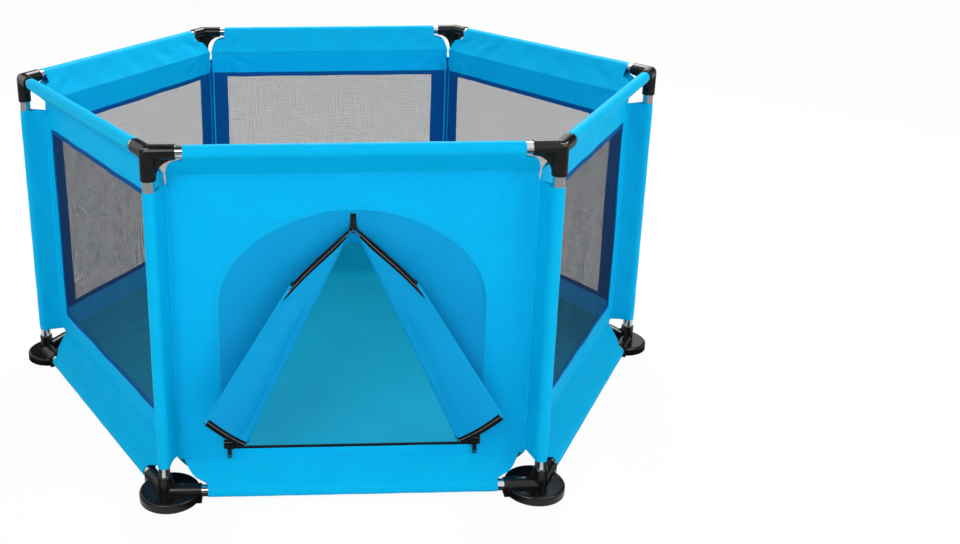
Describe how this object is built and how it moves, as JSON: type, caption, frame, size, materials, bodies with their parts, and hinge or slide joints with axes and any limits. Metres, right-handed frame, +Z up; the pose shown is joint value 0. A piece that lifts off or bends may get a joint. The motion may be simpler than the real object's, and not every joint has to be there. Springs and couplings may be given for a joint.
{
  "type": "playpen",
  "caption": "Hexagonal play pen of plugged steel tubes with moulded corners and round feet, cloth walls with net windows and a two-flap zipped door.",
  "frame": {"origin": "on the floor, in the middle of the pen", "axes": "+Z up, door side to -Y, +X to the right seen from the door"},
  "size_m": [1.36, 1.1918, 0.6295],
  "materials": {
    "black_plastic": "satin moulded",
    "chrome_tube": "bright",
    "blue_cloth": "coated polyester, slight sheen",
    "door_cloth": "coated polyester, slight sheen",
    "floor_cloth": "coated polyester",
    "window_net": "knitted net",
    "zip_tape": "woven tape with coil teeth",
    "zip_metal": "black enamel"
  },
  "bodies": {
    "pen": {"foot_front_left": "black_plastic", "top_corner_front_left": "black_plastic", "post_front_left": "chrome_tube", "foot_front_right": "black_plastic", "top_corner_front_right": "black_plastic", "post_front_right": "chrome_tube", "foot_right": "black_plastic", "top_corner_right": "black_plastic", "post_right": "chrome_tube", "foot_rear_right": "black_plastic", "top_corner_rear_right": "black_plastic", "post_rear_right": "chrome_tube", "foot_rear_left": "black_plastic", "top_corner_rear_left": "black_plastic", "post_rear_left": "chrome_tube", "foot_left": "black_plastic", "top_corner_left": "black_plastic", "post_left": "chrome_tube", "post_sleeves": "blue_cloth", "top_rail_front": "chrome_tube", "bottom_rail_front": "chrome_tube", "door_wall": "blue_cloth", "top_rail_front_right": "chrome_tube", "bottom_rail_front_right": "chrome_tube", "window_wall_front_right": "blue_cloth", "window_net_front_right": "window_net", "top_rail_rear_right": "chrome_tube", "bottom_rail_rear_right": "chrome_tube", "window_wall_rear_right": "blue_cloth", "window_net_rear_right": "window_net", "top_rail_rear": "chrome_tube", "bottom_rail_rear": "chrome_tube", "window_wall_rear": "blue_cloth", "window_net_rear": "window_net", "top_rail_rear_left": "chrome_tube", "bottom_rail_rear_left": "chrome_tube", "window_wall_rear_left": "blue_cloth", "window_net_rear_left": "window_net", "top_rail_front_left": "chrome_tube", "bottom_rail_front_left": "chrome_tube", "window_wall_front_left": "blue_cloth", "window_net_front_left": "window_net", "floor_sheet": "floor_cloth", "door_surround": "door_cloth", "fixed_zips": "zip_tape"},
    "left_flap": {"left_flap": "door_cloth", "left_flap_zip": "zip_tape"},
    "left_tip": {"left_flap_tip": "door_cloth", "left_tip_zip": "zip_tape"},
    "right_flap": {"right_flap": "door_cloth", "right_flap_zip": "zip_tape"},
    "right_tip": {"right_flap_tip": "door_cloth", "right_tip_zip": "zip_tape"},
    "door_slider": {"door_slider": "zip_metal"},
    "left_slider": {"left_slider": "zip_metal"},
    "right_slider": {"right_slider": "zip_metal"},
    "door_pull": {"door_pull": "zip_metal"},
    "left_pull": {"left_pull": "zip_metal"},
    "right_pull": {"right_pull": "zip_metal"}
  },
  "joints": [
    {"name": "left_flap_fold", "type": "hinge", "parent": "pen", "child": "left_flap", "pos_m": [0, -0.52136, 0.496], "axis": [0.4163, 0, 0.9092], "range_deg": [0, 146]},
    {"name": "left_tip_fold", "type": "hinge", "parent": "left_flap", "child": "left_tip", "pos_m": [-0.09692, -0.55395, 0.40037], "axis": [0.5263, 0.0852, 0.846], "range_deg": [0, 178.01]},
    {"name": "right_flap_fold", "type": "hinge", "parent": "pen", "child": "right_flap", "pos_m": [0, -0.52136, 0.496], "axis": [0.4163, 0, -0.9092], "range_deg": [0, 146.01]},
    {"name": "right_tip_fold", "type": "hinge", "parent": "right_flap", "child": "right_tip", "pos_m": [0.09692, -0.55395, 0.40037], "axis": [0.5263, -0.0852, -0.846], "range_deg": [0, 178.01]},
    {"name": "door_slider_travel", "type": "slide", "parent": "pen", "child": "door_slider", "axis": [0, 0, -1], "range_m": [0, 0.3936]},
    {"name": "left_slider_travel", "type": "slide", "parent": "pen", "child": "left_slider", "axis": [1, 0, 0], "range_m": [0, 0.2021]},
    {"name": "right_slider_travel", "type": "slide", "parent": "pen", "child": "right_slider", "axis": [-1, 0, 0], "range_m": [0, 0.2021]},
    {"name": "door_pull_swing", "type": "hinge", "parent": "door_slider", "child": "door_pull", "pos_m": [0, -0.52385, 0.4885], "axis": [-1, 0, 0], "range_deg": [0, 150]},
    {"name": "left_pull_swing", "type": "hinge", "parent": "left_slider", "child": "left_pull", "pos_m": [-0.211, -0.52385, 0.081], "axis": [-1, 0, 0], "range_deg": [0, 100]},
    {"name": "right_pull_swing", "type": "hinge", "parent": "right_slider", "child": "right_pull", "pos_m": [0.211, -0.52385, 0.081], "axis": [-1, 0, 0], "range_deg": [0, 100]}
  ],
  "couplings": [
    {"joint": "left_tip_fold", "follows": "left_flap_fold", "ratio": 1.2192},
    {"joint": "right_flap_fold", "follows": "left_flap_fold", "ratio": 1},
    {"joint": "right_tip_fold", "follows": "left_flap_fold", "ratio": 1.2192},
    {"joint": "door_slider_travel", "follows": "left_flap_fold", "m_per_rad": 0.15442},
    {"joint": "left_slider_travel", "follows": "left_flap_fold", "m_per_rad": 0.079272},
    {"joint": "right_slider_travel", "follows": "left_flap_fold", "m_per_rad": 0.079272}
  ]
}
